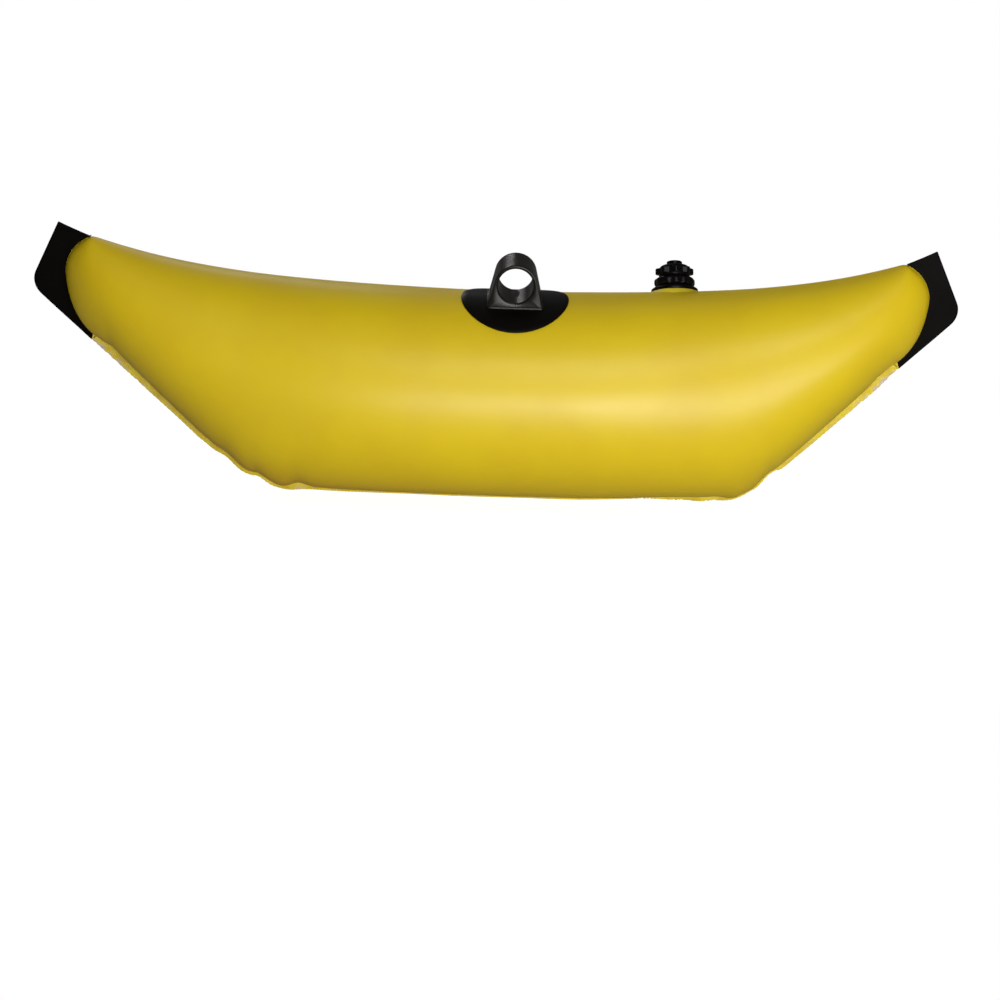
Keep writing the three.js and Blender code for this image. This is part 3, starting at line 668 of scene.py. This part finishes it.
def endCover(side, node):
    # The folded film between the chamber's oval and the tab's edge, from the seam round to the top line
    look = coverLook
    out = gap + look["film"]
    edge = tabOutline(side, coverFrom, out, out, look["low"])[::-1]
    # Its top starts where the oval dips under the top line
    x = np.linspace(coverFrom, tip, look["searchSteps"])
    chord = np.sqrt(1 - ((x - endPlace) / (tip - endPlace + gap)) ** 2)
    oval = endHeight + (floatSizes["endAbove"] + gap) * chord
    topFrom = x[oval < ridgeHeight(x) + out - look["taper"]][0]
    edge = edge[(edge[:, 1] < endHeight) | (np.abs(edge[:, 0]) > topFrom)]
    ends = np.abs(edge[[0, -1], 0]) - endPlace, edge[[0, -1], 1] - endHeight
    tall = np.array([floatSizes["endBelow"], floatSizes["endAbove"]]) + gap
    low, high = np.degrees(np.arctan2(ends[1] / tall, ends[0] / (floatSizes["endLength"] + gap)))
    outer, inner = resample(edge, look["steps"]), ovalPath(side, gap, low, high, look["steps"])
    # Along the top the fold starts level with the chamber and rises to its full thickness
    start = np.exp(-(np.abs(outer[:, 0]) - topFrom) / look["taperReach"]) * (outer[:, 1] > endHeight)
    outer[:, 1] -= look["taper"] * start
    turn = np.linspace(0, 1, look["steps"])
    wave = look["wave"] * np.sin(turn * look["waveLength"] + look["waveStart"]) * np.sin(turn * np.pi)
    band, share = strip(inner, outer, film + out, wave, look["rimSteps"], look["acrossSteps"])
    makePiece(side + "Cover", [(band, False, True)], "float", coverFilm, [node])


endCover("bow", "bow_end_cover")
endCover("stern", "stern_end_cover")

padSizes = dict(place=18.0, forward=8.0, radius=55.0, thickness=1.4, edge=0.7, bevel=5.0, bevelPower=2.2,
                rim=0.12, flatSteps=12, bevelSteps=8, roundSteps=144)


def socketPad():
    # A disc laid on the skin: its radius runs along the float and round it, its height along the normal
    look = padSizes
    flat = look["radius"] - look["bevel"]
    inside = np.linspace(0, flat, look["flatSteps"])
    spread = np.concatenate([inside, np.linspace(flat, look["radius"], look["bevelSteps"])[1:]])
    slope = ramp(spread, flat, look["radius"])
    top = gap + look["thickness"] - (look["thickness"] - look["edge"]) * slope ** look["bevelPower"]
    lift = np.concatenate([top, [gap + look["edge"] / 2], 0 * spread + gap])
    spread = np.concatenate([spread, [look["radius"] + look["rim"]], spread[::-1]])
    turn = wholeTurn(look["roundSteps"])[None, :]
    x = look["place"] + spread[:, None] * np.cos(turn)
    angle = (-look["forward"] + spread[:, None] * np.sin(turn)) / radius
    return makePiece("socketPad", [(skinPoint(x, angle, lift[:, None] + 0 * x), False, True)], "float",
                     padFilm, ["socket_patch"])


socketSizes = dict(
    boreRadius=18.0, wall=3.5, chamfer=1.6, nick=0.15, lip=0.1, edge=0.9, edgeShare=0.3, rise=19.5,
    length=45.0, footHalf=27.7, footDrop=26.0, reachShare=2.5, roundSteps=288, outerSteps=14, boreSteps=10,
    leastFall=0.05, ledge=1.2, ledgeHeight=1.8, ledgeCorner=3.0, ledgeSteps=160)

# The ledge's section, from the middle of its top out to its rim and back below: shares of its reach and
# of its height
ledgeReachShares = np.array([0.0, 0.35, 0.7, 0.955, 0.985, 1.0, 1.0, 0.7, 0.0])
ledgeHeightShares = np.array([1, 1, 1, 1, 0.9, 0.6, 0, 0, 0])

socketPlace = padSizes["place"]
socketSeat = gap + padSizes["thickness"] + gap
socketAt = skinPoint(np.array(socketPlace), np.array(-padSizes["forward"] / radius), np.array(socketSeat))
boreHeight = socketAt[2] + socketSizes["rise"]


def groundHeight(x, y, lift):
    # The height of the skin under a point, moved out by lift: the angle is found from y in a few steps
    angle = np.arcsin(np.clip(y / (radius + lift), -0.99, 0.99))
    for _ in range(4):
        angle = angle + (y - skinPoint(x, angle, lift + 0 * x)[..., 1]) / (radius * np.cos(angle))
    return skinPoint(x, angle, lift + 0 * x)[..., 2]


def socketBlock():
    # Round the bore's axis every ray leaves the block at the arch, the flaring leg or the ground below,
    # whichever comes first. A section runs through the bore, its chamfers, the faces and the outside.
    look = socketSizes
    bore, cut, edge, nick = look["boreRadius"], look["chamfer"], look["edge"], look["nick"]
    least = look["leastFall"]
    front, back = socketAt[1] - look["length"] / 2, socketAt[1] + look["length"] / 2
    turn = wholeTurn(look["roundSteps"])
    cos, sin = np.cos(turn), np.sin(turn)
    outside = bore + look["wall"]
    flare = math.atan2(look["footHalf"] - outside, look["footDrop"])
    leg = outside / np.maximum(np.abs(cos) * math.cos(flare) + sin * math.sin(flare), 1e-6)
    arch = np.minimum(np.where(sin > math.sin(flare), outside, leg), look["reachShare"] * outside)

    def boreRow(reach, y):
        return stackLast(socketPlace + reach * cos, y, boreHeight + reach * sin)

    def outerRow(inset, y):
        reach = arch - inset
        for _ in range(3):
            x = socketPlace + reach * cos
            depth = boreHeight - groundHeight(x, y + 0 * x, socketSeat)
            ground = np.where(sin < -least, depth / np.maximum(-sin, least), np.inf)
            reach = np.minimum(arch - inset, ground)
        return boreRow(reach, y)

    # The mouth's rows, from the bore out: reach or inset, and the depth behind the face
    mouth = [(boreRow, bore, cut), (boreRow, bore + cut - nick, nick), (boreRow, bore + cut + look["lip"], 0),
             (outerRow, edge, 0), (outerRow, edge * look["edgeShare"], edge * look["edgeShare"]),
             (outerRow, 0, edge)]
    rows = [makeRow(value, front + depth) for makeRow, value, depth in mouth]
    rows += [outerRow(0, y) for y in np.linspace(front + edge, back - edge, look["outerSteps"])[1:-1]]
    rows += [makeRow(value, back - depth) for makeRow, value, depth in reversed(mouth)]
    rows += [boreRow(bore, y) for y in np.linspace(back - cut, front + cut, look["boreSteps"])[1:-1]]
    return np.array(rows), True, True


def socketLedge():
    # The ledge round the foot: a rounded rectangle laid on the pad
    look = socketSizes
    half = np.array([look["footHalf"], look["length"] / 2]) + look["ledge"]
    angle = wholeTurn(look["ledgeSteps"])
    box = stackLast(np.cos(angle), np.sin(angle))
    box = box / np.abs(box / half).max(1, keepdims=True)
    inner = np.clip(box, look["ledgeCorner"] - half, half - look["ledgeCorner"])
    away = np.linalg.norm(box - inner, axis=1, keepdims=True)
    box = inner + (box - inner) / np.maximum(away, 1e-6) * np.minimum(away, look["ledgeCorner"])
    x = socketPlace + ledgeReachShares[:, None] * box[None, :, 0]
    y = socketAt[1] + ledgeReachShares[:, None] * box[None, :, 1]
    z = groundHeight(x, y, socketSeat + look["ledgeHeight"] * ledgeHeightShares[:, None])
    return stackLast(x, y, z), False, True


socketPad()
makePiece("poleSocket", [socketBlock(), socketLedge()], "float", socketPlastic,
          ["pole_socket"])


def closeOutline(outline, rounding, steps=6, most=0.45):
    # Each corner turns into a curve that leaves its edges at the rounding, or at most that share of them:
    # the corner, plus (1 - t) squared of the way back and t squared of the way on
    corner = np.asarray(outline, float)
    back, onward = np.roll(corner, 1, 0) - corner, np.roll(corner, -1, 0) - corner
    far = np.maximum(np.linalg.norm([back, onward], axis=2), 1e-9)[..., None]
    reach = np.broadcast_to(np.asarray(rounding, float), len(corner))[:, None]
    share = np.minimum(reach, most * far) / far
    t = np.linspace(0, 1, steps)[None, :, None]
    curve = corner[:, None] + (1 - t) ** 2 * (back * share[0])[:, None]
    curve = (curve + t ** 2 * (onward * share[1])[:, None]).reshape(-1, 2)
    return np.concatenate([curve, curve[:1]])


def turnedShell(outline, rounding, steps=120, lobes=0, depth=0.0, fromRadius=0.0, toRadius=1.0):
    # An outline with rounded corners, swept round the valve's axis. Lobes draw the outer wall in by depth
    # times (1 - cos(lobes times the angle)) / 2, from nothing at fromRadius to the whole at toRadius.
    spread, level = closeOutline(outline, rounding).T[..., None]
    turn = wholeTurn(steps)[None, :]
    drawn = spread - ramp(spread, fromRadius, toRadius) * depth * (1 - np.cos(lobes * turn)) / 2
    return roundValve(drawn, turn, level), False, True


# The ridge's half widths at its root and its crest are shares of the pitch
threadSizes = dict(depth=0.3, root=0.3, rootShare=0.204, crestShare=0.06, fade=0.8, steps=72)


def threadShell(wall, pitch, low, high):
    # A ridge wound round a neck, thinning out at both ends
    look = threadSizes
    turns = (high - low) / pitch
    turn = np.linspace(0, 2 * np.pi * turns, int(look["steps"] * turns))[:, None]
    crest = look["depth"] * np.clip(np.minimum(turn, turn[-1] - turn) / look["fade"], 0, 1)
    root = 0 * turn - look["root"]
    spread = wall + np.concatenate([root, crest, crest, root], 1)
    shares = np.array([[-look["rootShare"], -look["crestShare"], look["crestShare"], look["rootShare"]]])
    level = low + pitch * turn / (2 * np.pi) + shares * pitch
    return roundValve(spread, turn, level), False, True


patchSizes = dict(clearance=0.2, rim=25.2, top=0.8, slopeWidth=5.0, slopeEnd=-4.6, under=-9.0)


def valvePatch():
    # The raised round patch: a low cone on the skin round the valve
    look = patchSizes
    hole, foot = holeSizes["radius"] + look["clearance"], look["rim"] + look["slopeWidth"]
    outline = [(hole, look["top"]), (look["rim"], look["top"]), (foot, look["slopeEnd"]),
               (foot, look["under"]), (hole, look["under"])]
    # The patch wears the weld's brighter film: painted light on its raised arc in front of the valve
    return makePiece("valvePatch", [turnedShell(outline, (0.3, 1.2, 0.5, 0, 0))], "float",
                     weldedFilm, ["valve_patch"])


baseSizes = dict(bore=13.2, sleeve=14.7, sleeveEnd=-2.5, flange=24.5, under=1.1, flangeEdge=3.9,
                 flangeTop=(23.0, 4.7), step=(20.2, 7.1), neck=17.0, neckEnd=13.9,
                 pitch=3.0, thread=(8.6, 12.9))


def valveBase():
    look = baseSizes
    bore, sleeve, flange, neck = look["bore"], look["sleeve"], look["flange"], look["neck"]
    outline = [(bore, look["sleeveEnd"]), (sleeve, look["sleeveEnd"]), (sleeve, look["under"]),
               (flange, look["under"]), (flange, look["flangeEdge"]), look["flangeTop"], look["step"],
               (neck, look["step"][1]), (neck, look["neckEnd"]), (bore, look["neckEnd"])]
    rounding = (0.3, 0.3, 0.2, 0.7, 1.0, 0.8, 0.7, 0.3, 0.5, 0.4)
    shells = [turnedShell(outline, rounding), threadShell(neck, look["pitch"], *look["thread"])]
    return makePiece("valveBase", shells, "float", valvePlastic, ["valve_base"])


insertSizes = dict(
    tubeBore=11.3, tube=12.8, tubeEnd=8.1, roof=15.8, skirtBore=17.4, skirt=20.2, skirtEnd=7.6,
    lobes=21.3, lobesLow=9.4, lobesHigh=14.2, shoulder=16.1, shoulderHigh=17.6, neckBore=9.8, neck=12.2,
    neckEnd=25.0, lobeCount=12, lobeDepth=1.1, lobesFrom=18.9, steps=240, pitch=2.5, thread=(18.9, 24.0),
    hub=(1.9, 3.6), hubLevels=(8.4, 10.9), hubSteps=60, rounding=0.3,
    spokes=4, firstSpoke=45, spokeHalf=1.1, spokeLevels=(8.4, 10.0), spokeRun=(3.0, 11.8), spokeRounding=0.35)


def boxOutline(low, high, bottom, top):
    return [(low, bottom), (high, bottom), (high, top), (low, top)]


def spokeShell(turn):
    # A rounded bar from inside the hub to inside the tube, closed at both ends
    look = insertSizes
    half = look["spokeHalf"]
    section = closeOutline(boxOutline(-half, half, *look["spokeLevels"]), look["spokeRounding"], 4)
    reach = np.repeat(look["spokeRun"], 2)[:, None]
    small = np.array([0.0, 1.0, 1.0, 0.0])[:, None]
    middle = section.mean(0)
    across, level = (middle[i] + (section[None, :, i] - middle[i]) * small for i in range(2))
    bar = stackLast(reach * math.cos(turn) - across * math.sin(turn),
                    reach * math.sin(turn) + across * math.cos(turn), level)
    return toValve(bar), False, True


def valveInsert():
    look = insertSizes
    bore, tube, neck, neckBore = look["tubeBore"], look["tube"], look["neck"], look["neckBore"]
    roof, skirt, lobes = look["roof"], look["skirt"], look["lobes"]
    outline = [(bore, look["tubeEnd"]), (tube, look["tubeEnd"]), (tube, roof), (look["skirtBore"], roof),
               (look["skirtBore"], look["skirtEnd"]), (skirt, look["skirtEnd"]), (lobes, look["lobesLow"]),
               (lobes, look["lobesHigh"]), (look["shoulder"], look["shoulderHigh"]),
               (neck, look["shoulderHigh"]), (neck, look["neckEnd"]), (neckBore, look["neckEnd"]),
               (neckBore, roof), (bore, roof)]
    rounding = (0.3, 0.3, 0.3, 0.3, 0.4, 0.6, 0.6, 1.4, 0.8, 0.4, 0.5, 0.4, 0.3, 0.3)
    hub = boxOutline(*look["hub"], *look["hubLevels"])
    shells = [turnedShell(outline, rounding, look["steps"], look["lobeCount"], look["lobeDepth"],
                          look["lobesFrom"], lobes),
              turnedShell(hub, look["rounding"], look["hubSteps"]),
              threadShell(neck, look["pitch"], *look["thread"])]
    for spoke in range(look["spokes"]):
        shells.append(spokeShell(math.radians(look["firstSpoke"] + 360 / look["spokes"] * spoke)))
    return makePiece("valveInsert", shells, "insert", valvePlastic, ["valve_insert"])


capSizes = dict(
    bore=12.6, rim=15.7, rimEnd=18.1, lobes=20.0, lobesLow=20.0, lobesHigh=26.3, domeHeight=4.2, domeSteps=12,
    roof=26.6, knobBore=6.2, knobRoof=32.4, knob=8.1, knobBevel=0.8, knobTop=34.3, lobeCount=8,
    lobeDepth=3.4, steps=240)


def valveCap():
    look = capSizes
    bore, rim, lobes, knob = look["bore"], look["rim"], look["lobes"], look["knob"]
    turn = np.radians(np.linspace(0, 90, look["domeSteps"]))
    domeLevel = look["lobesHigh"] + look["domeHeight"] * np.sin(turn)
    dome = stackLast(knob + (rim - knob) * np.cos(turn), domeLevel)
    outline = np.concatenate([
        [(0, look["knobTop"]), (0, look["knobRoof"]), (look["knobBore"], look["knobRoof"]),
         (look["knobBore"], look["roof"]), (bore, look["roof"]), (bore, look["rimEnd"]),
         (rim, look["rimEnd"]), (rim, look["lobesLow"]), (lobes, look["lobesLow"]),
         (lobes, look["lobesHigh"])], dome,
        [(knob, look["knobTop"] - look["knobBevel"]), (knob - look["knobBevel"], look["knobTop"])]])
    rounding = [0, 0, 0.4, 0.4, 0.4, 0.3, 0.6, 0.5, 1.0, 1.0] + [0.4] * look["domeSteps"] + [0.7, 0.7]
    shell = turnedShell(outline, rounding, look["steps"], look["lobeCount"], look["lobeDepth"], rim, lobes)
    return makePiece("valveCap", [shell], "cap", valvePlastic, ["valve_cap"])


valvePatch()
valveBase()
valveInsert()
valveCap()

# The CAD model's own seals and flap are shown, in rubber
for name in ("insert_seal", "cap_seal", "check_flap"):
    for slot in frame["nodes"][name].material_slots:
        slot.material = sealRubber
print("pieces made")

# The floor turns into a plain white backdrop between the two distances, in a figure squashed along X
studio = dict(world=0.04, glossyShare=0.08, floor="b8b8b8", mirrored="4a4a4a", glow=0.90, floorHalf=12.0,
              floorDrop=0.0004, backdrop=(0.18, 0.52), squash=(0.5, 1.0, 1.0), aim=(0.03, 0.0, 0.12))
white = "ffffff"

# The lamps: place, size, power in watts, and whether the object mirrors them
lamps = dict(
    keyLamp=dict(place=(0.32, -1.95, 0.48), size=(0.78, 0.34), power=17.6),
    lowLamp=dict(place=(0.9, -1.7, 0.10), size=(0.9, 0.3), power=12.0),
    upperLamp=dict(place=(0.2, -0.8, 1.0), size=(0.6, 0.4), power=3.8),
    topLamp=dict(place=(0.1, -0.3, 2.0), size=(1.6, 1.2), power=1.4, mirrored=False),
    crownLamp=dict(place=(0.1, 1.1, 1.6), size=(1.2, 0.5), power=6.0, mirrored=False),
    rimLamp=dict(place=(-0.5, 2.0, 1.0), size=(0.7, 0.3), power=1.8),
    bowLamp=dict(place=(-1.7, 0.0, 0.1), size=(0.8, 0.4), power=2.4, mirrored=False),
    sternLamp=dict(place=(1.7, 0.0, 0.05), size=(0.8, 0.4), power=1.6, mirrored=False),
    backLamp=dict(place=(-0.3, 2.1, 0.35), size=(1.4, 0.8), power=24.0, mirrored=False))


def newLamp(name, place, size, power, mirrored=True):
    lamp = bpy.data.lights.new(name, "AREA")
    lamp.shape, lamp.energy = "RECTANGLE", power
    lamp.size, lamp.size_y = size
    holder = addObject(name, lamp)
    holder.location = place
    holder.rotation_euler = (Vector(studio["aim"]) - Vector(place)).to_track_quat("-Z", "Y").to_euler()
    holder.visible_glossy = mirrored


for name, lamp in lamps.items():
    newLamp(name, **lamp)


def seenDirectly(tree, seen):
    # 1 where the camera looks straight or through something, and a share of it in reflections
    direct = scalarMath(tree, "MAXIMUM", seen.outputs["Is Camera Ray"], seen.outputs["Is Transmission Ray"])
    glossy = scalarMath(tree, "MULTIPLY", seen.outputs["Is Glossy Ray"], studio["glossyShare"])
    return scalarMath(tree, "MAXIMUM", direct, glossy)


def floorMaterial():
    # A matt floor that takes a faint shadow and glows a little for the camera, and the backdrop round it
    material = bpy.data.materials.new("paleFloor")
    material.use_nodes = True
    tree = material.node_tree
    tree.nodes.clear()
    seen = addNode(tree, "ShaderNodeLightPath")
    direct = seenDirectly(tree, seen)
    shade = mixColours(tree, seen.outputs["Is Glossy Ray"], studio["floor"], studio["mirrored"])
    plain = addNode(tree, "ShaderNodeBsdfDiffuse", Color=shade)
    glow = addNode(tree, "ShaderNodeEmission", Color=white,
                   Strength=scalarMath(tree, "MULTIPLY", direct, studio["glow"]))
    backdrop = addNode(tree, "ShaderNodeEmission", Color=white, Strength=direct)
    place = addNode(tree, "ShaderNodeTexCoord").outputs["Object"]
    squashed = addNode(tree, "ShaderNodeMapping", Vector=place, Scale=studio["squash"]).outputs["Vector"]
    length = addNode(tree, "ShaderNodeVectorMath", operation="LENGTH", Vector=squashed).outputs["Value"]
    away = scalarMath(tree, "MULTIPLY", direct, rampBetween(tree, length, *studio["backdrop"]))
    both = feedInOrder(tree, addNode(tree, "ShaderNodeAddShader"), plain.outputs[0], glow.outputs[0])
    blend = feedInOrder(tree, addNode(tree, "ShaderNodeMixShader"), away, both, backdrop.outputs[0])
    addNode(tree, "ShaderNodeOutputMaterial", Surface=blend)
    return material


def makeFloor():
    half, drop = studio["floorHalf"], studio["floorDrop"]
    corners = [(x * half, y * half, -drop) for x, y in ((-1, -1), (1, -1), (1, 1), (-1, 1))]
    mesh = bpy.data.meshes.new("floor")
    mesh.from_pydata(corners, [], [(0, 1, 2, 3)])
    mesh.materials.append(floorMaterial())
    addObject("floor", mesh)


def makeWorld():
    world = bpy.data.worlds.new("studio")
    world.use_nodes = True
    tree = world.node_tree
    back = tree.nodes["Background"].inputs
    direct = seenDirectly(tree, addNode(tree, "ShaderNodeLightPath"))
    feed(tree, back["Color"], white)
    feed(tree, back["Strength"], scalarMath(tree, "MAXIMUM", direct, studio["world"]))
    bpy.context.scene.world = world


# The photograph looks along +Y from above, with the float's middle left of and above the picture's
# middle, and its right end a little lower. Focal length and middle are in the photograph's pixels.
photoView = dict(distance=2.0, elevation=22.0, aimHeight=0.121, roll=1.985, focal=1901.0,
                 middle=(494.2, 392.7), pixels=1000, sensor=36.0, clip=(0.05, 60.0))


def makeCamera():
    elevation, focal, pixels = math.radians(photoView["elevation"]), photoView["focal"], photoView["pixels"]
    aim = Vector((0.0, 0.0, photoView["aimHeight"]))
    place = aim + photoView["distance"] * Vector((0.0, -math.cos(elevation), math.sin(elevation)))
    look = (aim - place).to_track_quat("-Z", "Y").to_matrix()
    look = look @ Matrix.Rotation(math.radians(photoView["roll"]), 3, "Z")
    across, down = photoView["middle"]
    seenAt = Vector(((across - pixels / 2) / focal, (pixels / 2 - down) / focal, -1)).normalized()
    turn = seenAt.rotation_difference(Vector((0, 0, -1))).to_matrix()
    data = bpy.data.cameras.new("camera")
    data.sensor_fit, data.sensor_width = "HORIZONTAL", photoView["sensor"]
    data.lens = photoView["sensor"] * focal / pixels
    data.clip_start, data.clip_end = photoView["clip"]
    camera = addObject("camera", data)
    camera.matrix_world = Matrix.Translation(place) @ (look @ turn).to_4x4()
    bpy.context.scene.camera = camera


makeFloor()
makeWorld()
makeCamera()
bpy.context.scene.view_settings.view_transform = "Standard"
